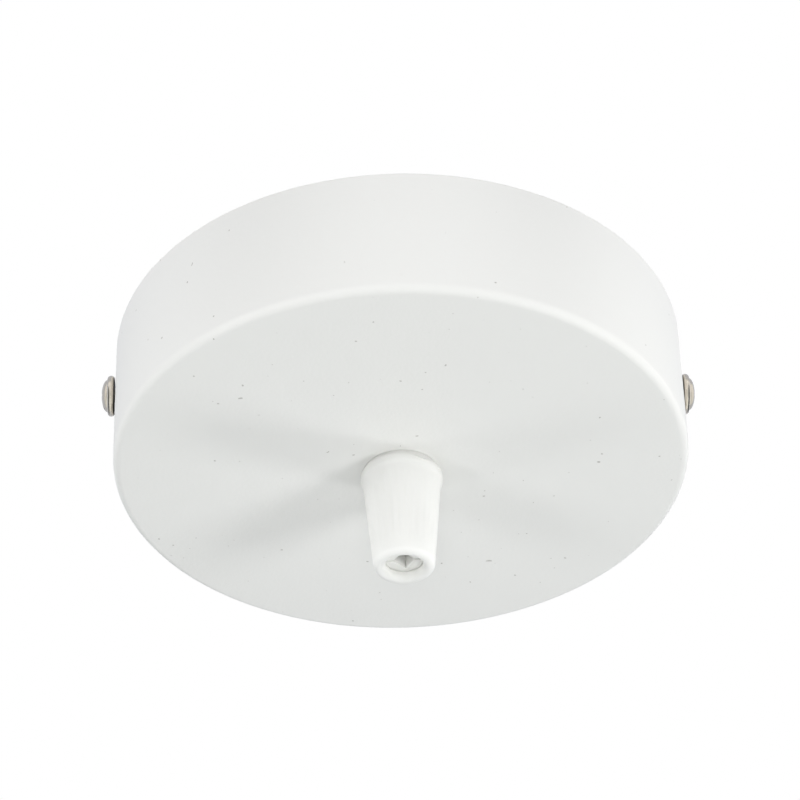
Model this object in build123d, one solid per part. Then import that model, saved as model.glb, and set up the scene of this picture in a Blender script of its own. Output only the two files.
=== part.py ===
from build123d import *
import math
import os

# Frame: millimetres, +Z up. The origin is the centre of the ceiling plane, and the
# side screws lie along X. The canopy hangs below the ceiling, so its parts have z < 0.

# Canopy cup, one drawn steel sheet
cup_diameter = 100.0
cup_depth = 25.0
cup_sheet = 0.8
cup_edge_radius = 1.5
cup_outer_edge_flats = 3
cup_inner_edge_flats = 1
cup_hole_clearance = 0.25

# Side screws, one piece each: shank, collar and low dome
side_screw_drop = 8.2
side_screw_shank_radius = 1.45
side_screw_length = 8.0
side_screw_collar_radius = 3.6
side_screw_collar_thickness = 1.25
side_screw_collar_bevel = 0.25
side_screw_dome_radius = 2.85
side_screw_dome_height = 1.15
side_screw_dome_flats = 2
side_screw_recess_span = 3.0
side_screw_recess_depth = 1.2
side_screw_seat_gap = 0.15
side_screw_hole_clearance = 0.25
side_screw_turn_left = 24.0
side_screw_turn_right = 52.0

# Cross recess, shared by every screw head
recess_wing_width = 0.72
recess_wall_slope = 0.45

# Mounting bracket, one zinc-plated steel strip
strip_thickness = 1.5
strip_width = 20.0
strip_bend_radius = 1.0
strip_to_cup_gap = 0.5
ear_below_screw = 6.0
ear_corner_radius = 5.0
slot_width = 4.5
slot_length = 20.0
slot_offset = 22.0
bracket_hole_radius = 5.2
thread_collar_wall = 1.1
thread_collar_height = 1.5
thread_clearance = 0.05

# Earth lug on the bracket's side, with its screw and washer
lug_from_ear = 10.2
lug_width = 9.0
lug_corner_radius = 2.5
lug_below_screw = 5.0
earth_screw_drop = 8.0
earth_screw_shank_radius = 1.95
earth_screw_length = 8.0
earth_screw_head_radius = 3.9
earth_screw_head_thickness = 1.1
earth_screw_head_bevel = 0.2
earth_screw_dome_radius = 3.6
earth_screw_dome_height = 1.3
earth_screw_dome_flats = 2
earth_screw_recess_span = 4.2
earth_screw_recess_depth = 1.5
earth_screw_turn = 15.0
earth_washer_radius = 4.5
earth_washer_thickness = 0.8
earth_washer_clearance = 0.2

# Cord grip stem: a threaded tube with a flange between its two threads
stem_thread_radius = 4.95
stem_wall = 1.45
stem_upper_length = 9.0
stem_flange_width = 1.55
stem_flange_thickness = 1.0
stem_end_bevel = 0.5

# Lock washer and hexagon nut on the stem, inside the cup
lock_washer_width = 3.85
lock_washer_thickness = 0.8
lock_washer_teeth = 12
lock_washer_notch_depth = 2.4
lock_washer_notch_width = 1.1
lock_washer_clearance = 0.2
nut_wall = 2.05
nut_height = 3.0
nut_face_inset = 0.2
nut_bevel_angle = 30.0

# Cord grip cap, a ribbed nylon cone
cap_length = 19.23
cap_to_flange_gap = 0.15
cap_thread_clearance = 0.08
cap_collar_wall = 2.05
cap_collar_height = 1.35
cap_step_wall = 1.72
cap_step_height = 0.55
cap_end_wall = 2.06
cap_end_flats = 2
mouth_radius = 3.25
mouth_land = 0.6
flute_count = 32
flute_width = 0.8
flute_depth = 0.2
flute_below_step = 1.0
flute_above_tip = 3.0

# Clamp inside the cap: a split cone with two V jaws
clamp_height = 6.55
clamp_seat_gap = 0.1
clamp_end_gap = 0.1
clamp_side_gap = 0.1
clamp_ring_gap = 0.18
clamp_ring_wall = 0.95
clamp_ring_height = 1.0
clamp_hold_width = 0.95
clamp_jaw_height = 3.8
clamp_jaw_opening = 3.8
clamp_jaw_reach = 2.5
clamp_split_height = 4.4
clamp_split_width = 0.5
clamp_turn = -8

# Places and radii that several pieces share
cup_radius = cup_diameter / 2
cup_inner_radius = cup_radius - cup_sheet
face_z = -cup_depth
floor_z = face_z + cup_sheet
bend_outer_radius = strip_bend_radius + strip_thickness
ear_outer_x = math.sqrt(cup_inner_radius**2 - (strip_width / 2) ** 2) - strip_to_cup_gap
ear_inner_x = ear_outer_x - strip_thickness
ear_drop = side_screw_drop + ear_below_screw
lug_x = ear_inner_x - lug_from_ear
lug_outer_y = strip_width / 2 + bend_outer_radius
lug_inner_y = lug_outer_y - strip_thickness
stem_top_z = face_z + stem_upper_length
flange_bottom_z = face_z - stem_flange_thickness
cap_top_z = flange_bottom_z - cap_to_flange_gap
cap_tip_z = cap_top_z - cap_length
cap_end_rounding = cap_end_wall / 2
mouth_z = cap_tip_z + cap_end_rounding
cap_floor_z = mouth_z + mouth_land
cap_bore_radius = stem_thread_radius + cap_thread_clearance
cap_step_radius = cap_bore_radius + cap_step_wall
cap_step_z = cap_top_z - cap_collar_height - cap_step_height
cap_end_radius = mouth_radius + cap_end_wall
clamp_bottom_z = cap_floor_z + clamp_end_gap
clamp_top_z = clamp_bottom_z + clamp_height
clamp_cone_top_z = clamp_top_z - clamp_ring_height
clamp_ring_radius = cap_bore_radius - clamp_ring_gap
clamp_end_radius = mouth_radius + clamp_hold_width
stem_bottom_z = clamp_top_z + clamp_seat_gap


def at(radius, height):
    """Point of an outline that is turned about Z."""
    return (radius, 0, height)


def eased_corner(radius, height, rounding, flats):
    """Points round the lower outer corner of an outline, from its side to its foot."""
    turns = [math.radians(90 * step / flats) for step in range(flats + 1)]
    return [at(radius - rounding * (1 - math.cos(turn)), height + rounding * (1 - math.sin(turn)))
            for turn in turns]


def rounded_end(radius, height, rounding, flats):
    """Points round the full lower end of a tube's wall, from its outside to its bore."""
    turns = [math.radians(180 * step / flats) for step in range(flats + 1)]
    return [at(radius + rounding * math.cos(turn), height - rounding * math.sin(turn)) for turn in turns]


def domed_top(foot, height, rise, flats):
    """Points of a dome's outline, from its foot to its crown on the axis."""
    ball = (foot**2 + rise**2) / (2 * rise)
    turns = [math.asin(foot / ball) * (1 - step / flats) for step in range(flats + 1)]
    return [at(ball * math.sin(turn), height + rise - ball * (1 - math.cos(turn))) for turn in turns]


def turned(*points):
    """Solid of revolution about Z from the corners of its closed outline."""
    return revolve(make_face(Polyline(*points, points[0])), Axis.Z)


def drawn_cup():
    """Open-topped cup with a flat lower face and a hole for the grip's stem."""
    hole_radius = stem_thread_radius + cup_hole_clearance
    outer_edge = eased_corner(cup_radius, face_z, cup_edge_radius, cup_outer_edge_flats)
    inner_edge = eased_corner(cup_inner_radius, floor_z, cup_edge_radius - cup_sheet, cup_inner_edge_flats)
    cup = turned(
        at(hole_radius, face_z), at(hole_radius, floor_z), *reversed(inner_edge),
        at(cup_inner_radius, 0), at(cup_radius, 0), *outer_edge,
    )
    drill = Cylinder(side_screw_shank_radius + side_screw_hole_clearance, 2 * cup_diameter)
    return cup - Pos(0, 0, -side_screw_drop) * Rot(0, 90, 0) * drill


def cross_recess(span, depth, turn):
    """Cutter for a cross recess that opens at z = 0 and narrows downwards."""
    foot = span / 2 - depth * recess_wall_slope
    side = Polyline((-span / 2, depth), (-span / 2, 0), (-foot, -depth), (foot, -depth),
                    (span / 2, 0), (span / 2, depth), (-span / 2, depth))
    wing = extrude(Plane.XZ * make_face(side), recess_wing_width / 2, both=True)
    return Rot(0, 0, turn) * (wing + Rot(0, 0, 90) * wing)


def screw_blank(shank, length, rim, rim_height, bevel, dome):
    """Blank of a screw on Z: its seat is at z = 0, with a bevelled rim and a dome above."""
    return turned(
        at(0, -length), at(shank, -length), at(shank, 0),
        at(rim, 0), at(rim, rim_height - bevel), at(rim - bevel, rim_height), *dome,
    )


def side_screw(side, turn):
    """Side screw in its place outside the cup's wall, at +X or -X."""
    dome = domed_top(side_screw_dome_radius, side_screw_collar_thickness, side_screw_dome_height,
                     side_screw_dome_flats)
    screw = screw_blank(side_screw_shank_radius, side_screw_length,
                        side_screw_collar_radius, side_screw_collar_thickness,
                        side_screw_collar_bevel, dome)
    crown = side_screw_collar_thickness + side_screw_dome_height
    screw -= Pos(0, 0, crown) * cross_recess(side_screw_recess_span, side_screw_recess_depth, turn)
    seat = Pos(side * (cup_radius + side_screw_seat_gap), 0, -side_screw_drop)
    return seat * Rot(0, 90 * side, 0) * screw


def thread_collar(hole_radius):
    """Collar drawn out of a sheet for a thread: its root is at z = 0 and it rises along +Z."""
    ring = Circle(hole_radius + thread_collar_wall) - Circle(hole_radius)
    return extrude(ring, thread_collar_height)


def folded_sheet(length, drop, width, corner_radius):
    """Sheet from y = 0 along +Y, folded down at y = length, with its free corners rounded."""
    over = Pos(length / 2, -drop / 2) * Rectangle(length, drop)
    over = fillet(over.vertices().sort_by_distance((length, 0))[0], bend_outer_radius)
    inner_length = length - strip_thickness
    inner_drop = drop - strip_thickness
    under = Pos(inner_length / 2, -strip_thickness - inner_drop / 2) * Rectangle(inner_length, inner_drop)
    under = fillet(under.vertices().sort_by_distance((inner_length, -strip_thickness))[0], strip_bend_radius)
    fold = extrude(Plane.YZ * (over - under), width / 2, both=True)
    front = Pos(0, -drop / 2) * Rectangle(width, drop)
    front = fillet(front.vertices().group_by(Axis.Y)[0], corner_radius)
    return fold & extrude(Plane.XZ * front, -length)


def mounting_bracket():
    """U-shaped strip with two ceiling slots, two screw ears and an earth lug."""
    ear = folded_sheet(ear_outer_x, ear_drop, strip_width, ear_corner_radius)
    lug = folded_sheet(lug_outer_y, earth_screw_drop + lug_below_screw, lug_width, lug_corner_radius)
    bracket = Rot(0, 0, -90) * ear + Rot(0, 0, 90) * ear + Pos(lug_x, 0, 0) * lug

    screw_hole = side_screw_shank_radius + thread_clearance
    earth_hole = earth_screw_shank_radius + thread_clearance
    threads = [
        (Pos(ear_inner_x, 0, -side_screw_drop) * Rot(0, -90, 0), screw_hole),
        (Pos(-ear_inner_x, 0, -side_screw_drop) * Rot(0, 90, 0), screw_hole),
        (Pos(lug_x, lug_inner_y, -earth_screw_drop) * Rot(90, 0, 0), earth_hole),
    ]
    reach = 2 * (strip_thickness + thread_collar_height)
    for seat, hole in threads:
        bracket += seat * thread_collar(hole)
        bracket -= seat * Cylinder(hole, reach)
    for side in (-1, 1):
        slot = Pos(side * slot_offset, 0, 0) * SlotOverall(slot_length, slot_width)
        bracket -= extrude(slot, -strip_thickness)
    return bracket - Cylinder(bracket_hole_radius, 2 * strip_thickness)


def earth_screw():
    """Pan-head screw with its axis on Z and the head's seat at z = 0."""
    dome = domed_top(earth_screw_dome_radius, earth_screw_head_thickness, earth_screw_dome_height,
                     earth_screw_dome_flats)
    screw = screw_blank(earth_screw_shank_radius, earth_screw_length,
                        earth_screw_head_radius, earth_screw_head_thickness,
                        earth_screw_head_bevel, dome)
    crown = earth_screw_head_thickness + earth_screw_dome_height
    recess = cross_recess(earth_screw_recess_span, earth_screw_recess_depth, earth_screw_turn)
    return screw - Pos(0, 0, crown) * recess


def earth_washer():
    """Flat washer under the earth screw's head, its upper face at z = 0."""
    ring = Circle(earth_washer_radius) - Circle(earth_screw_shank_radius + earth_washer_clearance)
    return extrude(ring, -earth_washer_thickness)


def grip_stem():
    """Hollow threaded tube with a flange that lies against the cup's lower face."""
    thread = stem_thread_radius
    bore = thread - stem_wall
    bevel = stem_end_bevel
    flange = thread + stem_flange_width
    return turned(
        at(bore, stem_top_z), at(thread - bevel, stem_top_z), at(thread, stem_top_z - bevel),
        at(thread, face_z), at(flange, face_z), at(flange, flange_bottom_z),
        at(thread, flange_bottom_z), at(thread, stem_bottom_z + bevel),
        at(thread - bevel, stem_bottom_z), at(bore, stem_bottom_z),
    )


def lock_washer():
    """Flat washer with locking teeth round its edge, on the cup's floor."""
    bore = stem_thread_radius + lock_washer_clearance
    outer = bore + lock_washer_width
    notch = Pos(outer, 0) * Rectangle(2 * lock_washer_notch_depth, lock_washer_notch_width)
    ring = Circle(outer) - Circle(bore) - PolarLocations(0, lock_washer_teeth) * notch
    return Pos(0, 0, floor_z) * extrude(ring, lock_washer_thickness)


def lock_nut():
    """Hexagon nut: its seat is flat and the corners of its upper face are bevelled."""
    half_flats = stem_thread_radius + nut_wall
    hexagon = RegularPolygon(half_flats, 6, major_radius=False)
    blank = extrude(hexagon - Circle(stem_thread_radius + thread_clearance), nut_height)
    corner = half_flats / math.cos(math.pi / 6)
    face = half_flats - nut_face_inset
    fall = (corner - face) * math.tan(math.radians(nut_bevel_angle))
    bevel = turned(at(0, 0), at(corner, 0), at(corner, nut_height - fall),
                   at(face, nut_height), at(0, nut_height))
    return Pos(0, 0, floor_z + lock_washer_thickness) * (blank & bevel)


def cap_cone_radius(height):
    """Radius of the cap's inner cone, which runs beside the clamp with a side gap."""
    share = (clamp_cone_top_z - height) / (clamp_cone_top_z - clamp_bottom_z)
    return clamp_ring_radius + clamp_side_gap - share * (clamp_ring_radius - clamp_end_radius)


def flutes():
    """Cutters for the fine grip flutes, each a V groove that follows the cap's taper."""
    taper = (cap_step_radius - cap_end_radius) / (cap_step_z - cap_tip_z - cap_end_rounding)
    start_z = cap_step_z - flute_below_step
    surface = cap_step_radius - taper * flute_below_step
    groove = make_face(Polyline((-flute_depth, 0), (flute_depth, flute_width),
                                (flute_depth, -flute_width), (-flute_depth, 0)))
    cutter = extrude(groove, cap_tip_z + flute_above_tip - start_z)
    cutter = Pos(surface, 0, start_z) * Rot(0, math.degrees(math.atan(taper)), 0) * cutter
    return [Rot(0, 0, turn * 360 / flute_count) * cutter for turn in range(flute_count)]


def grip_cap():
    """Tapered cap: smooth collar, fluted body, thread bore, clamp cone and full-round end."""
    collar = cap_bore_radius + cap_collar_wall
    end = rounded_end(mouth_radius + cap_end_rounding, mouth_z, cap_end_rounding, 2 * cap_end_flats)
    body = turned(
        at(cap_bore_radius, cap_top_z), at(collar, cap_top_z), at(collar, cap_step_z + cap_step_height),
        at(cap_step_radius, cap_step_z), *end, at(mouth_radius, cap_floor_z),
        at(cap_cone_radius(cap_floor_z), cap_floor_z),
        at(cap_cone_radius(clamp_cone_top_z), clamp_cone_top_z), at(cap_bore_radius, clamp_cone_top_z),
    )
    return body - flutes()


def grip_clamp():
    """Split cone that the cap squeezes: an upper ring and two V jaws towards the mouth."""
    ring = clamp_ring_radius
    bore = ring - clamp_ring_wall
    jaw_top_z = clamp_bottom_z + clamp_jaw_height
    cone = turned(
        at(bore, clamp_top_z), at(ring, clamp_top_z), at(ring, clamp_cone_top_z),
        at(clamp_end_radius, clamp_bottom_z), at(0, clamp_bottom_z), at(0, jaw_top_z),
        at(bore, jaw_top_z),
    )
    side = clamp_jaw_opening / 2
    reach = clamp_jaw_reach
    grooves = make_face(Polyline((side, 0), (0, reach), (-side, 0), (0, -reach), (side, 0)))
    jaws = extrude(grooves, clamp_jaw_height)
    split = Box(3 * ring, clamp_split_width, clamp_split_height,
                align=(Align.CENTER, Align.CENTER, Align.MIN))
    return cone - Pos(0, 0, clamp_bottom_z) * Rot(0, 0, clamp_turn) * (jaws + split)


def all_parts():
    """Every piece of the canopy, by its node's name."""
    earth_seat = Pos(lug_x, lug_outer_y + earth_washer_thickness, -earth_screw_drop) * Rot(-90, 0, 0)
    return {
        "canopy_cup": drawn_cup(),
        "mounting_bracket": mounting_bracket(),
        "side_screw_left": side_screw(-1, side_screw_turn_left),
        "side_screw_right": side_screw(1, side_screw_turn_right),
        "grip_stem": grip_stem(),
        "grip_clamp": grip_clamp(),
        "grip_cap": grip_cap(),
        "lock_nut": lock_nut(),
        "lock_washer": lock_washer(),
        "earth_screw": earth_seat * earth_screw(),
        "earth_washer": earth_seat * earth_washer(),
    }


os.makedirs("parts", exist_ok=True)
for node, piece in all_parts().items():
    piece.label = node
    export_step(piece, f"parts/{node}.step")
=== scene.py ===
import math

import bmesh
import bpy
from mathutils import Matrix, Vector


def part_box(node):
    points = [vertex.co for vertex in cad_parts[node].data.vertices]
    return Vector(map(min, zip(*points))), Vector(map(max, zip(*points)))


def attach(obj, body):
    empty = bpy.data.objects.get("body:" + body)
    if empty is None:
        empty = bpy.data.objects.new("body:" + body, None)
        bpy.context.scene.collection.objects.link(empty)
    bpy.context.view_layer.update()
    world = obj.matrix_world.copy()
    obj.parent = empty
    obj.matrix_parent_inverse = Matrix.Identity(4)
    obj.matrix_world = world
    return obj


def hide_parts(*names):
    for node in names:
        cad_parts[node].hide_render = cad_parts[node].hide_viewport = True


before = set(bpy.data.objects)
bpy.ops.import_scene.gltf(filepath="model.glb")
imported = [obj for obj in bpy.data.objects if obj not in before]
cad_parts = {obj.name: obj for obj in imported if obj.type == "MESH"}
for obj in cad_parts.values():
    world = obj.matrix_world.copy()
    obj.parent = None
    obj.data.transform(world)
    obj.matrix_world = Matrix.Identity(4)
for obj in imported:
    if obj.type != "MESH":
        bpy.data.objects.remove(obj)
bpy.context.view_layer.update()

# The camera stands below the ceiling on the near side and looks up at the canopy with a
# long lens, from a little to the left of the middle between the two side screws.
cup_low, cup_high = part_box("canopy_cup")
camera_distance = 0.5875
camera_rise = math.radians(37.18)
camera_turn = math.radians(-2.6)
camera_roll = math.radians(-1.79)
camera_focus_px = 3336
picture_px = 800
centre_px = (399.63, 414.51)
camera = bpy.data.objects.new("camera", bpy.data.cameras.new("camera"))
bpy.context.scene.collection.objects.link(camera)
bpy.context.scene.camera = camera
camera.data.sensor_width = 36
camera.data.lens = camera.data.sensor_width * camera_focus_px / picture_px
camera.data.shift_x = (picture_px / 2 - centre_px[0]) / picture_px
camera.data.shift_y = (centre_px[1] - picture_px / 2) / picture_px
camera.matrix_world = (
    Matrix.Translation((0, 0, (cup_low.z + cup_high.z) / 2))
    @ Matrix.Rotation(camera_turn, 4, "Z")
    @ Matrix.Rotation(math.pi / 2 + camera_rise, 4, "X")
    @ Matrix.Translation((0, 0, camera_distance))
    @ Matrix.Rotation(camera_roll, 4, "Z")
)


# The cup is drawn from one steel sheet: a flat face, a tight rounded edge and a plain
# cylindrical wall. It is powder coated white inside and out, over its pierced holes.
mm = 0.001
cup_sheet = 0.8 * mm
cup_edge = 1.5 * mm
cup_rim_edge = 0.25 * mm
cup_hole_edge = 0.15 * mm
stem_hole_clearance = 0.25 * mm
screw_hole_clearance = 0.25 * mm
screw_drill_length = 8 * mm
coat_colour = (0.86, 0.86, 0.845, 1)
coat_speck_colour = (0.55, 0.54, 0.52, 1)


def turned(name, corners, steps):
    """A mesh turned about Z from the corners of its outline: radius, height and rounding."""
    bm = bmesh.new()
    points = [bm.verts.new((radius, 0, height)) for radius, height, rounding in corners]
    for start, end in zip(points, points[1:] + points[:1]):
        bm.edges.new((start, end))
    for point, (radius, height, rounding) in zip(points, corners):
        if rounding:
            bmesh.ops.bevel(bm, geom=[point], affect="VERTICES", offset=rounding, profile=0.5,
                            segments=6, material=-1)
    bmesh.ops.spin(bm, geom=bm.verts[:] + bm.edges[:], cent=(0, 0, 0), axis=(0, 0, 1),
                   angle=2 * math.pi, steps=steps, use_merge=True)
    bmesh.ops.remove_doubles(bm, verts=bm.verts, dist=1e-6)
    bmesh.ops.recalc_face_normals(bm, faces=bm.faces)
    return piece(name, bm)


def piece(name, bm, sharp=35):
    """A new object from a bmesh, smooth but for edges over an angle in degrees."""
    for face in bm.faces:
        face.smooth = True
    for edge in bm.edges:
        edge.smooth = edge.calc_face_angle(0) < math.radians(sharp)
    mesh = bpy.data.meshes.new(name)
    bm.to_mesh(mesh)
    bm.free()
    made = bpy.data.objects.new(name, mesh)
    bpy.context.scene.collection.objects.link(made)
    return made


def carve(target, cutter):
    """Cuts one piece's shape out of another and removes the cutter."""
    cut = target.modifiers.new("cut", "BOOLEAN")
    cut.operation = "DIFFERENCE"
    cut.solver = "EXACT"
    cut.object = cutter
    depsgraph = bpy.context.evaluated_depsgraph_get()
    mesh = bpy.data.meshes.new_from_object(target.evaluated_get(depsgraph))
    target.modifiers.clear()
    target.data = mesh
    bpy.data.objects.remove(cutter)


stem_low, stem_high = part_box("grip_stem")
stem_thread_radius = 4.95 * mm
cup_radius = cup_high.x
face_z = cup_low.z
floor_z = face_z + cup_sheet
hole_radius = stem_thread_radius + stem_hole_clearance
cup_inner = cup_radius - cup_sheet
cup = turned("powder_coated_cup", [
    (hole_radius, face_z, cup_hole_edge),
    (cup_radius, face_z, cup_edge),
    (cup_radius, 0, cup_rim_edge),
    (cup_inner, 0, cup_rim_edge),
    (cup_inner, floor_z, cup_edge - cup_sheet),
    (hole_radius, floor_z, cup_hole_edge),
], steps=240)


def material(name, roughness):
    """A material of one Principled shader, with its nodes and the shader at hand."""
    made = bpy.data.materials.new(name)
    made.use_nodes = True
    nodes = made.node_tree.nodes
    shader = nodes["Principled BSDF"]
    shader.inputs["Roughness"].default_value = roughness
    return made, nodes, made.node_tree.links, shader


def node_group(name, inputs, outputs):
    """An empty shader node group with float inputs and their defaults, and float outputs."""
    group = bpy.data.node_groups.new(name, "ShaderNodeTree")
    for label, value in inputs.items():
        socket = group.interface.new_socket(label, in_out="INPUT", socket_type="NodeSocketFloat")
        socket.default_value = value
    for label in outputs:
        group.interface.new_socket(label, in_out="OUTPUT", socket_type="NodeSocketFloat")
    return group, group.nodes.new("NodeGroupInput"), group.nodes.new("NodeGroupOutput")


def placed_group(nodes, group, **values):
    """A node group placed in a material, with this material's own values."""
    made = nodes.new("ShaderNodeGroup")
    made.node_tree = group
    for label, value in values.items():
        made.inputs[label].default_value = value
    return made


def remapped(nodes, links, source, low, high, target):
    """Carries a value from 0 to 1 into another range on its way to a socket."""
    ranged = nodes.new("ShaderNodeMapRange")
    ranged.inputs["To Min"].default_value = low
    ranged.inputs["To Max"].default_value = high
    links.new(source, ranged.inputs["Value"])
    links.new(ranged.outputs["Result"], target)


def mixed(nodes, links, factor, first, second, target=None):
    """Mixes a colour, or a socket's colour, with another by a factor on the way to a socket."""
    mix = nodes.new("ShaderNodeMix")
    mix.data_type = "RGBA"
    links.new(factor, mix.inputs["Factor"])
    if isinstance(first, bpy.types.NodeSocket):
        links.new(first, mix.inputs["A"])
    else:
        mix.inputs["A"].default_value = first
    mix.inputs["B"].default_value = second
    if target:
        links.new(mix.outputs["Result"], target)
    return mix.outputs["Result"]


def bumped(nodes, links, height, distance, shader):
    """Presses a height into a shader's normal, with its depth in metres."""
    bump = nodes.new("ShaderNodeBump")
    bump.inputs["Strength"].default_value = 1.0
    bump.inputs["Distance"].default_value = distance
    links.new(height, bump.inputs["Height"])
    links.new(bump.outputs["Normal"], shader.inputs["Normal"])


grain, grain_in, grain_out = node_group(
    "grain", {"Scale": 1000.0, "Patch scale": 40.0}, ["Height", "Patch"])
grain_place = grain.nodes.new("ShaderNodeTexCoord")
for socket, output, detail in (("Scale", "Height", 2.0), ("Patch scale", "Patch", 3.0)):
    noise = grain.nodes.new("ShaderNodeTexNoise")
    noise.inputs["Detail"].default_value = detail
    grain.links.new(grain_place.outputs["Object"], noise.inputs["Vector"])
    grain.links.new(grain_in.outputs[socket], noise.inputs["Scale"])
    grain.links.new(noise.outputs["Fac"], grain_out.inputs[output])

specks, specks_in, specks_out = node_group("specks", {"Scale": 1000.0, "Rarity": 0.8}, ["Mask"])
speck_place = specks.nodes.new("ShaderNodeTexCoord")
speck_noise = specks.nodes.new("ShaderNodeTexNoise")
speck_noise.inputs["Detail"].default_value = 0.0
specks.links.new(speck_place.outputs["Object"], speck_noise.inputs["Vector"])
specks.links.new(specks_in.outputs["Scale"], speck_noise.inputs["Scale"])
speck_over = specks.nodes.new("ShaderNodeMath")
speck_over.operation = "SUBTRACT"
specks.links.new(speck_noise.outputs["Fac"], speck_over.inputs[0])
specks.links.new(specks_in.outputs["Rarity"], speck_over.inputs[1])
speck_edge = specks.nodes.new("ShaderNodeMath")
speck_edge.operation = "MULTIPLY"
speck_edge.use_clamp = True
speck_edge.inputs[1].default_value = 40.0
specks.links.new(speck_over.outputs[0], speck_edge.inputs[0])
specks.links.new(speck_edge.outputs[0], specks_out.inputs["Mask"])

coat, nodes, links, shader = material("white_powder_coat", 0.45)
coat_grain = placed_group(nodes, grain, **{"Scale": 1400.0, "Patch scale": 30.0})
coat_specks = placed_group(nodes, specks, Scale=1300.0, Rarity=0.87)
mixed(nodes, links, coat_specks.outputs["Mask"], coat_colour, coat_speck_colour,
      shader.inputs["Base Color"])
remapped(nodes, links, coat_grain.outputs["Patch"], 0.42, 0.52, shader.inputs["Roughness"])
bumped(nodes, links, coat_grain.outputs["Height"], 0.03 * mm, shader)
cup.data.materials.append(coat)
screw_low, screw_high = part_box("side_screw_right")
screw_z = (screw_low.z + screw_high.z) / 2
screw_shank_radius = 1.45 * mm
for side in (-1, 1):
    drill = bmesh.new()
    bmesh.ops.create_cone(drill, cap_ends=True, segments=48, depth=screw_drill_length,
                          radius1=screw_shank_radius + screw_hole_clearance,
                          radius2=screw_shank_radius + screw_hole_clearance,
                          matrix=Matrix.Translation((side * cup_radius, 0, screw_z))
                          @ Matrix.Rotation(math.pi / 2, 4, "Y"))
    carve(cup, piece("screw_drill", drill))
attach(cup, "canopy")
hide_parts("canopy_cup")


# The mounting bracket is a zinc-plated steel strip, punched, folded to a U and tapped,
# with an ear for each side screw and a small folded lug for the earth wire.
zinc_colour = (0.6, 0.61, 0.61, 1)
# The paler colour goes on the edges, part edge wear and part painted highlight; the dark colour is painted
# shade in creases.
zinc_worn_and_lit_edge_colour = (0.78, 0.78, 0.77, 1)
zinc_shade_colour = (0.16, 0.16, 0.155, 1)
punched_edge = 0.12 * mm


def finished_copy(node, name, edge, segments=2):
    """A CAD node's own shape, with its doubled points merged and its sharp edges eased."""
    bm = bmesh.new()
    bm.from_mesh(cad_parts[node].data)
    bmesh.ops.remove_doubles(bm, verts=bm.verts, dist=1e-6)
    bmesh.ops.dissolve_limit(bm, angle_limit=math.radians(1), verts=bm.verts, edges=bm.edges)
    made = piece(name, bm)
    eased = made.modifiers.new("eased_edges", "BEVEL")
    eased.width = edge
    eased.segments = segments
    eased.limit_method = "ANGLE"
    eased.angle_limit = math.radians(35)
    eased.harden_normals = True
    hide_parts(node)
    return made


# Painted highlight, partly edge wear: a mask on rounded edges where the colour is made paler, as if they
# caught the light.
edges, edges_in, edges_out = node_group("edge_wear_and_highlight", {"Radius": 0.0003}, ["Mask"])
edge_bevel = edges.nodes.new("ShaderNodeBevel")
edge_place = edges.nodes.new("ShaderNodeNewGeometry")
edge_turn = edges.nodes.new("ShaderNodeVectorMath")
edge_turn.operation = "DOT_PRODUCT"
edge_mask = edges.nodes.new("ShaderNodeMapRange")
edge_mask.inputs["From Min"].default_value = 1.0
edge_mask.inputs["From Max"].default_value = 0.85
edges.links.new(edges_in.outputs["Radius"], edge_bevel.inputs["Radius"])
edges.links.new(edge_bevel.outputs["Normal"], edge_turn.inputs[0])
edges.links.new(edge_place.outputs["Normal"], edge_turn.inputs[1])
edges.links.new(edge_turn.outputs["Value"], edge_mask.inputs["Value"])
edges.links.new(edge_mask.outputs["Result"], edges_out.inputs["Mask"])

# Painted shade: a mask from ambient occlusion that darkens the colour in creases, gaps and recesses between
# parts.
crevice_shade, crevice_in, crevice_out = node_group("crevice_shade", {"Distance": 0.001}, ["Mask"])
crevice_sky = crevice_shade.nodes.new("ShaderNodeAmbientOcclusion")
crevice_shade_mask = crevice_shade.nodes.new("ShaderNodeMapRange")
crevice_shade_mask.inputs["From Min"].default_value = 0.7
crevice_shade_mask.inputs["From Max"].default_value = 0.25
crevice_shade.links.new(crevice_in.outputs["Distance"], crevice_sky.inputs["Distance"])
crevice_shade.links.new(crevice_sky.outputs["AO"], crevice_shade_mask.inputs["Value"])
crevice_shade.links.new(crevice_shade_mask.outputs["Result"], crevice_out.inputs["Mask"])

zinc, nodes, links, shader = material("zinc_plate", 0.35)
shader.inputs["Metallic"].default_value = 1
zinc_grain = placed_group(nodes, grain, **{"Scale": 900.0, "Patch scale": 260.0})
zinc_edge_wear_and_highlight = placed_group(nodes, edges, Radius=0.4 * mm)
zinc_crevice_shade = placed_group(nodes, crevice_shade, Distance=0.8 * mm)
# Edges turn paler (part wear, part painted highlight) and creases darker (painted shade) in the base
# colour.
zinc_face = mixed(nodes, links, zinc_edge_wear_and_highlight.outputs["Mask"], zinc_colour, zinc_worn_and_lit_edge_colour)
mixed(nodes, links, zinc_crevice_shade.outputs["Mask"], zinc_face, zinc_shade_colour, shader.inputs["Base Color"])
remapped(nodes, links, zinc_grain.outputs["Patch"], 0.26, 0.46, shader.inputs["Roughness"])
bumped(nodes, links, zinc_grain.outputs["Height"], 0.01 * mm, shader)
bracket = finished_copy("mounting_bracket", "folded_bracket", punched_edge)
bracket.data.materials.append(zinc)
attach(bracket, "canopy")


# The earth screw is an M4 pan-head screw with a cross recess, zinc plated like its flat
# washer. It holds the earth wire on the bracket's lug.
thread_depth_share = 0.6
thread_sink_share = 0.15
thread_flank_shares = (0, 0.3, 0.45, 0.75)
thread_end_share = 0.3


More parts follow.
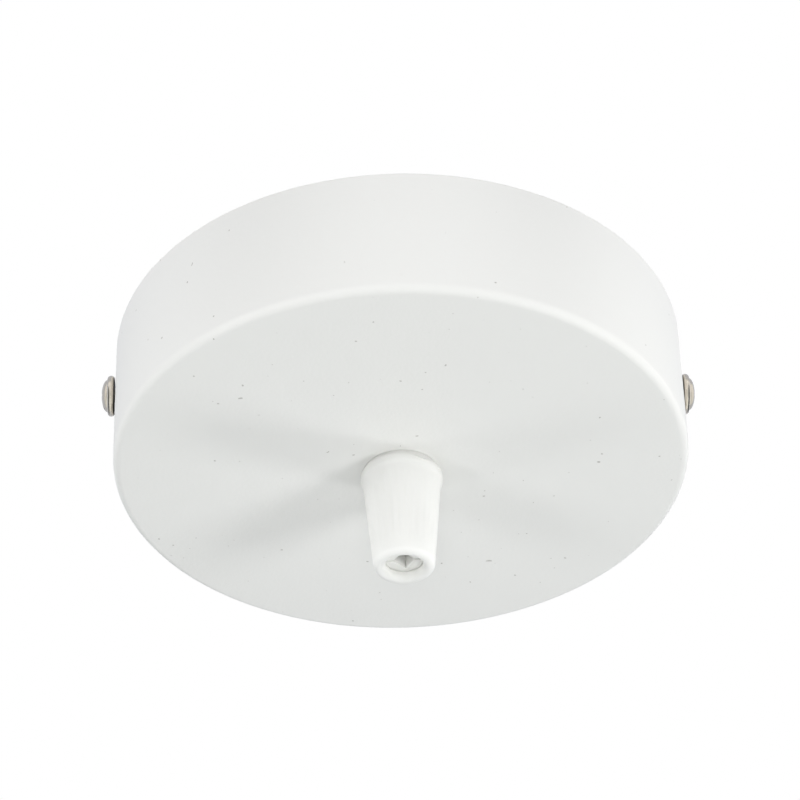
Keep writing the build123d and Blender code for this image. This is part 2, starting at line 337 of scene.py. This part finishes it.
def turned_thread(bm, core, crest, pitch, low, high, steps):
    """Winds a thread's ridge round a core about Z, between two heights. Its shares are of the pitch."""
    foot = core - thread_sink_share * pitch
    ridge = [bm.verts.new((radius, 0, low + share * pitch))
             for share, radius in zip(thread_flank_shares, (foot, crest, crest, foot))]
    face = bm.faces.new(ridge)
    turns = math.floor((high - low) / pitch - thread_flank_shares[-1])
    bmesh.ops.spin(bm, geom=[*ridge, *face.edges, face], cent=(0, 0, 0), axis=(0, 0, 1),
                   dvec=(0, 0, pitch / steps), angle=2 * math.pi * turns, steps=turns * steps)


def cross_wing(span, width, depth, slope, crown, turn):
    """One wing of a cross recess: a wedge that narrows downwards from the crown."""
    bm = bmesh.new()
    bmesh.ops.create_cube(bm, size=1)
    for vert in bm.verts:
        reach = span / 2 - slope * depth if vert.co.z < 0 else span / 2 + slope * depth
        vert.co = (2 * reach * vert.co.x, width * vert.co.y, 2 * depth * vert.co.z)
    bmesh.ops.transform(bm, matrix=Matrix.Translation((0, 0, crown)) @ Matrix.Rotation(turn, 4, "Z"),
                        verts=bm.verts)
    return piece("recess_wing", bm)


def machine_screw(name, shank, pitch, length, head, cutters, place):
    """A screw with its head's outline given, a rolled thread and cuts in its head, put in its place."""
    thread_depth = thread_depth_share * pitch
    core = shank - thread_depth
    tip = (core - 2 * thread_depth, -length, 0)
    screw = turned(name, [
        (0, -length, 0), tip, (core, -length + 2 * thread_depth, 0), (core, 0, 0), *head,
    ], steps=96)
    for cutter in cutters:
        carve(screw, cutter)
    bm = bmesh.new()
    bm.from_mesh(screw.data)
    turned_thread(bm, core, shank, pitch, -length + 2 * thread_depth, -thread_end_share * pitch, steps=32)
    bmesh.ops.transform(bm, matrix=place, verts=bm.verts)
    bmesh.ops.recalc_face_normals(bm, faces=bm.faces)
    bpy.data.objects.remove(screw)
    return piece(name, bm)


def cross_recess(span, depth, crown, turn):
    """The two crossed wings of a cross recess."""
    return [cross_wing(span, recess_wing_width, depth, recess_slope, crown, turn + quarter)
            for quarter in (0, math.pi / 2)]


def dome_points(foot, height, rise, steps):
    """Corners of a dome's outline, from its foot to its crown."""
    ball = (foot**2 + rise**2) / (2 * rise)
    turns = [math.asin(foot / ball) * (1 - step / steps) for step in range(steps + 1)]
    return [(ball * math.sin(turn), height + rise - ball * (1 - math.cos(turn)), 0) for turn in turns]


recess_wing_width = 0.72 * mm
recess_slope = 0.45
earth_low, earth_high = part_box("earth_screw")
earth_shank_radius = 1.95 * mm
earth_pitch = 0.7 * mm
earth_length = 8 * mm
earth_head_rim = 1.1 * mm
earth_dome_radius = 3.6 * mm
earth_recess_span = 4.2 * mm
earth_recess_depth = 1.5 * mm
earth_turn = math.radians(15)
earth_seat_edge = 0.15 * mm
earth_rim_edge = 0.35 * mm
earth_washer_edge = 0.12 * mm
earth_head_radius = (earth_high.x - earth_low.x) / 2
earth_head_height = earth_high.y - earth_low.y - earth_length
earth_x = (earth_high.x + earth_low.x) / 2
earth_z = (earth_high.z + earth_low.z) / 2
earth_screw = machine_screw(
    "pan_head_screw", earth_shank_radius, earth_pitch, earth_length,
    [(earth_head_radius, 0, earth_seat_edge), (earth_head_radius, earth_head_rim, earth_rim_edge),
     *dome_points(earth_dome_radius, earth_head_rim, earth_head_height - earth_head_rim, steps=10)],
    cross_recess(earth_recess_span, earth_recess_depth, earth_head_height, earth_turn),
    Matrix.Translation((earth_x, earth_low.y + earth_length, earth_z))
    @ Matrix.Rotation(-math.pi / 2, 4, "X"),
)
earth_screw.data.materials.append(zinc)
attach(earth_screw, "canopy")
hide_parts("earth_screw")
earth_washer = finished_copy("earth_washer", "flat_washer", earth_washer_edge)
earth_washer.data.materials.append(zinc)
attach(earth_washer, "canopy")


# The grip's stem is a moulded nylon tube, threaded M10 above and below its flange. It
# passes through the cup's face and carries the clamp and the cap on its lower thread.
nylon_colour = (0.96, 0.96, 0.925, 1)
nylon_shade_colour = (0.95, 0.95, 0.915, 1)
stem_pitch = 1.5 * mm
stem_bore = 3.5 * mm
flange_thickness = 1.0 * mm
stem_bore_edge = 0.15 * mm
stem_end_edge = 0.2 * mm
flange_top_edge = 0.1 * mm
flange_low_edge = 0.12 * mm
nylon, nodes, links, shader = material("white_nylon", 0.4)
shader.inputs["Subsurface Weight"].default_value = 0.5
shader.inputs["Subsurface Radius"].default_value = (1.0, 1.0, 1.0)
shader.inputs["Subsurface Scale"].default_value = 4 * mm
nylon_grain = placed_group(nodes, grain, **{"Scale": 2600.0, "Patch scale": 180.0})
mixed(nodes, links, nylon_grain.outputs["Patch"], nylon_colour, nylon_shade_colour,
      shader.inputs["Base Color"])
remapped(nodes, links, nylon_grain.outputs["Patch"], 0.33, 0.47, shader.inputs["Roughness"])
bumped(nodes, links, nylon_grain.outputs["Height"], 0.008 * mm, shader)
stem_depth = thread_depth_share * stem_pitch
stem_core = stem_thread_radius - stem_depth
flange_low = face_z - flange_thickness
stem = turned("grip_stem_tube", [
    (stem_bore, stem_high.z, stem_bore_edge),
    (stem_core, stem_high.z, stem_end_edge),
    (stem_core, face_z, 0),
    (stem_high.x, face_z, flange_top_edge),
    (stem_high.x, flange_low, flange_low_edge),
    (stem_core, flange_low, 0),
    (stem_core, stem_low.z, stem_end_edge),
    (stem_bore, stem_low.z, stem_bore_edge),
], steps=128)
bm = bmesh.new()
bm.from_mesh(stem.data)
turned_thread(bm, stem_core, stem_thread_radius, stem_pitch, face_z, stem_high.z, steps=64)
turned_thread(bm, stem_core, stem_thread_radius, stem_pitch, stem_low.z, flange_low, steps=64)
bmesh.ops.recalc_face_normals(bm, faces=bm.faces)
bpy.data.objects.remove(stem)
stem = piece("threaded_stem", bm)
stem.data.materials.append(nylon)
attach(stem, "canopy")
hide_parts("grip_stem")


# Inside the cup a toothed lock washer and a hexagon nut pull the stem's flange up
# against the cup's face. Both are zinc-plated steel.
washer_edge = 0.1 * mm
nut_edge = 0.18 * mm
washer = finished_copy("lock_washer", "toothed_washer", washer_edge)
nut = finished_copy("lock_nut", "hexagon_nut", nut_edge, segments=3)
for made in (washer, nut):
    made.data.materials.append(zinc)
    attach(made, "canopy")


# The clamp lies in the cap's cone: a split nylon plug whose two V jaws close on the
# cable as the cap is screwed up. One jaw's edge shows deep inside the mouth.
clamp_edge = 0.4 * mm
clamp = finished_copy("grip_clamp", "split_clamp", clamp_edge, segments=4)
clamp.data.materials.append(nylon)
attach(clamp, "clamp")


# The cap is a moulded nylon cone with a smooth collar, fine flutes for the fingers and a
# full-round end with the mouth in it.
cap_low, cap_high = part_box("grip_cap")
cap_collar = cap_high.x
cap_collar_height = 1.35 * mm
cap_step_height = 0.55 * mm
cap_step_radius = 6.75 * mm
cap_end_radius = 5.31 * mm
cap_end_rounding = 1.03 * mm
cap_bore = 5.03 * mm
cap_cone_top = 11.95 * mm
cap_cone_low_radius = 4.27 * mm
cap_cone_high_radius = 4.95 * mm
mouth_radius = 3.25 * mm
mouth_land = 0.6 * mm
flute_count = 32
flute_depth = 0.07 * mm
flute_below_step = 1.0 * mm
flute_above_tip = 3.0 * mm
flute_fade = 0.5 * mm
seam_lift = 0.08 * mm
seam_drop = 0.42 * mm
seam_bearing = math.radians(-60)
seam_sharpness = 12
columns_per_flute = 6
cap_end_steps = 16
cap_skin_radius = cap_bore + 0.3 * mm
cap_bore_edge = 0.25 * mm
cap_collar_edge = 0.15 * mm
cap_collar_foot_edge = 0.35 * mm
cap_step_edge = 0.5 * mm
mouth_land_edge = 0.1 * mm
step_z = cap_high.z - cap_collar_height - cap_step_height
end_z = cap_low.z + cap_end_rounding
taper = (cap_step_radius - cap_end_radius) / (step_z - end_z)
cap_floor = end_z + mouth_land
flute_top = step_z - flute_below_step
flute_foot = cap_low.z + flute_above_tip


def body_radius(height):
    """Radius of the cap's tapered body."""
    return cap_end_radius + taper * (height - end_z)


flute_rows = [flute_top, flute_top - flute_fade, flute_foot + flute_fade, flute_foot]
end_turns = [math.pi * step / cap_end_steps for step in range(cap_end_steps + 1)]
cap = turned("cap_blank", [
    (cap_bore, cap_high.z, cap_bore_edge),
    (cap_collar, cap_high.z, cap_collar_edge),
    (cap_collar, step_z + cap_step_height, cap_collar_foot_edge),
    (cap_step_radius, step_z, cap_step_edge),
    *[(body_radius(height), height, 0) for height in flute_rows],
    *[(mouth_radius + cap_end_rounding * (1 + math.cos(turn)), end_z - cap_end_rounding * math.sin(turn), 0)
      for turn in end_turns],
    (mouth_radius, cap_floor, mouth_land_edge),
    (cap_cone_low_radius, cap_floor, 0),
    (cap_cone_high_radius, cap_high.z - cap_cone_top, 0),
    (cap_bore, cap_high.z - cap_cone_top, 0),
], steps=flute_count * columns_per_flute)
bm = bmesh.new()
bm.from_mesh(cap.data)
bpy.data.objects.remove(cap)
for vert in bm.verts:
    radius = vert.co.xy.length
    if flute_foot + flute_fade / 2 < vert.co.z < flute_top - flute_fade / 2 and radius > cap_skin_radius:
        groove = max(0, math.cos(flute_count * math.atan2(vert.co.y, vert.co.x)))
        vert.co.xy *= 1 - flute_depth * math.sqrt(groove) / radius
    if vert.co.z > cap_high.z - cap_collar_height / 2:
        bearing = math.atan2(vert.co.y, vert.co.x) - seam_bearing
        opened = max(0, math.cos(bearing)) ** seam_sharpness
        vert.co.z += seam_lift - (seam_lift + seam_drop) * opened
cap = piece("ribbed_cap", bm, sharp=60)
cap.data.materials.append(nylon)
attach(cap, "cap")
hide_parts("grip_cap")


# The two side screws hold the cup to the bracket's ears. Each is one M3 screw with a
# round-edged collar, a low dome, a slot and a cross recess, bright nickel plated.
nickel_colour = (0.68, 0.62, 0.53, 1)
# The dark colour is painted shade for creases and the pale colour a painted highlight for edges.
nickel_shade_colour = (0.12, 0.11, 0.1, 1)
nickel_highlight_colour = (0.93, 0.9, 0.85, 1)
side_pitch = 0.5 * mm
side_length = 8 * mm
side_collar_thickness = 1.25 * mm
side_collar_rounding = 0.58 * mm
side_gap_low = 0.78 * mm
side_gap_high = 1.06 * mm
side_gap_start = 1.0 * mm
side_gap_drop = 1.7 * mm
side_gap_turn = math.radians(-31)
side_dome_radius = 2.85 * mm
side_seat_gap = 0.15 * mm
side_recess_span = 3.0 * mm
side_recess_depth = 1.2 * mm
side_slot_width = 0.7 * mm
side_slot_span = 3 * side_dome_radius
side_slot_depth = 0.6 * mm
side_dome_steps = 12
nickel, nodes, links, shader = material("bright_nickel", 0.12)
shader.inputs["Metallic"].default_value = 1
nickel_grain = placed_group(nodes, grain, **{"Scale": 1800.0, "Patch scale": 400.0})
nickel_edge_highlight = placed_group(nodes, edges, Radius=0.15 * mm)
nickel_crevice_shade = placed_group(nodes, crevice_shade, Distance=0.85 * mm)
# Edges get a painted highlight and creases painted shade in the base colour.
nickel_face = mixed(nodes, links, nickel_edge_highlight.outputs["Mask"], nickel_colour, nickel_highlight_colour)
mixed(nodes, links, nickel_crevice_shade.outputs["Mask"], nickel_face, nickel_shade_colour,
      shader.inputs["Base Color"])
remapped(nodes, links, nickel_grain.outputs["Patch"], 0.16, 0.28, shader.inputs["Roughness"])
bumped(nodes, links, nickel_grain.outputs["Height"], 0.003 * mm, shader)
side_collar_radius = (screw_high.z - screw_low.z) / 2
side_dome_height = screw_high.x - cup_radius - side_seat_gap - side_collar_thickness
side_crown = side_collar_thickness + side_dome_height
dome_turns = [math.pi / 2 * step / side_dome_steps for step in range(side_dome_steps + 1)]
for side, label, recess_turn in ((-1, "left", math.radians(-17)), (1, "right", math.radians(34))):
    seat = Matrix.Translation((side * (cup_radius + side_seat_gap), 0, screw_z))
    gap = turned("collar_gap", [
        (side_collar_radius + side_gap_start, side_gap_low, 0), (2 * side_collar_radius, side_gap_low, 0),
        (2 * side_collar_radius, side_gap_high, 0), (side_collar_radius + side_gap_start, side_gap_high, 0),
    ], steps=96)
    gap.data.transform(Matrix.Translation((-side * side_gap_drop * math.cos(side_gap_turn),
                                           -side_gap_drop * math.sin(side_gap_turn), 0)))
    made = machine_screw(
        label + "_screw", screw_shank_radius, side_pitch, side_length,
        [(side_collar_radius, 0, side_collar_rounding),
         (side_collar_radius, side_collar_thickness, side_collar_rounding),
         *[(side_dome_radius * math.cos(turn), side_collar_thickness + side_dome_height * math.sin(turn), 0)
           for turn in dome_turns]],
        [gap, cross_wing(side_slot_span, side_slot_width, side_slot_depth, 0, side_crown, recess_turn),
         *cross_recess(side_recess_span, side_recess_depth, side_crown, recess_turn)],
        seat @ Matrix.Rotation(side * math.pi / 2, 4, "Y"),
    )
    made.data.materials.append(nickel)
    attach(made, label + "_screw")
    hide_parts("side_screw_" + label)


# A pale floor lies far below the hanging canopy. The room is white, and the grey half of
# it behind the canopy shows only in the canopy's reflections.
floor_depth = 4
floor_size = 40
floor_colour = (0.775, 0.797, 0.782, 1)
floor_glow = 0.6
grey_radius = 1.5
grey_colour = (0.6, 0.63, 0.7, 1)
grey_right_end = 0.8


def seen_directly(nodes, links):
    """1 for camera, glossy and transmission rays, which show the background, and 0 for the light's own."""
    rays = nodes.new("ShaderNodeLightPath")
    seen = rays.outputs["Is Camera Ray"]
    for kind in ("Is Glossy Ray", "Is Transmission Ray"):
        either = nodes.new("ShaderNodeMath")
        either.operation = "MAXIMUM"
        links.new(seen, either.inputs[0])
        links.new(rays.outputs[kind], either.inputs[1])
        seen = either.outputs[0]
    return seen


bm = bmesh.new()
bmesh.ops.create_grid(bm, x_segments=1, y_segments=1, size=floor_size / 2,
                      matrix=Matrix.Translation((0, 0, -floor_depth)))
floor = piece("floor", bm)
floor_paint, nodes, links, shader = material("pale_floor", 0.8)
shader.inputs["Base Color"].default_value = floor_colour
shader.inputs["Emission Color"].default_value = floor_colour
remapped(nodes, links, seen_directly(nodes, links), 0.0, floor_glow, shader.inputs["Emission Strength"])
floor.data.materials.append(floor_paint)
bm = bmesh.new()
bmesh.ops.create_uvsphere(bm, u_segments=48, v_segments=24, radius=grey_radius)
ahead = camera.matrix_world.translation.normalized()
bmesh.ops.delete(bm, context="VERTS", geom=[
    vert for vert in bm.verts if vert.co.dot(ahead) > 0 or vert.co.x > grey_right_end * grey_radius])
grey_room = piece("grey_room", bm)
grey_paint, nodes, links, shader = material("grey_room", 0.9)
shader.inputs["Base Color"].default_value = (0, 0, 0, 1)
shader.inputs["Emission Color"].default_value = grey_colour
shader.inputs["Emission Strength"].default_value = 1
grey_room.data.materials.append(grey_paint)
grey_room.visible_camera = False
grey_room.visible_diffuse = False
grey_room.visible_transmission = False
grey_room.visible_shadow = False


# Soft lamps: four stand low round the canopy, two at its own height, one near the camera
# and one above for the open back. Each is given by its bearing from +X, its drop below
# the canopy's face and its power.
lamp_distance = 4.5
lamp_size = 1.4
lamps = {
    "near_right": (-36, 27, 61.0),
    "far_right": (21, 27, 43.0),
    "near_left": (-148, 27, 28.0),
    "far_left": (160, 27, 19.0),
    "wall_left": (-150, -9, 75.0),
    "wall_right": (-28, -9, 57.0),
    "camera_side": (-93, 37, 33.0),
    "above": (60, -60, 38.0),
}
for name, (bearing, drop, power) in lamps.items():
    lamp = bpy.data.objects.new(name, bpy.data.lights.new(name, "AREA"))
    bpy.context.scene.collection.objects.link(lamp)
    lamp.data.shape = "DISK"
    lamp.data.size = lamp_size
    lamp.data.energy = power
    lamp.matrix_world = (
        Matrix.Translation((0, 0, face_z))
        @ Matrix.Rotation(math.radians(bearing), 4, "Z")
        @ Matrix.Rotation(math.radians(drop), 4, "Y")
        @ Matrix.Translation((lamp_distance, 0, 0))
        @ Matrix.Rotation(math.pi / 2, 4, "Y")
    )
    lamp.visible_camera = False
    lamp.visible_glossy = False

room_light = 0.31
world = bpy.data.worlds.new("white_room")
bpy.context.scene.world = world
world.use_nodes = True
nodes = world.node_tree.nodes
links = world.node_tree.links
nodes["Background"].inputs["Color"].default_value = (1, 1, 1, 1)
remapped(nodes, links, seen_directly(nodes, links), room_light, 1.0, nodes["Background"].inputs["Strength"])
bpy.context.scene.view_settings.view_transform = "Standard"
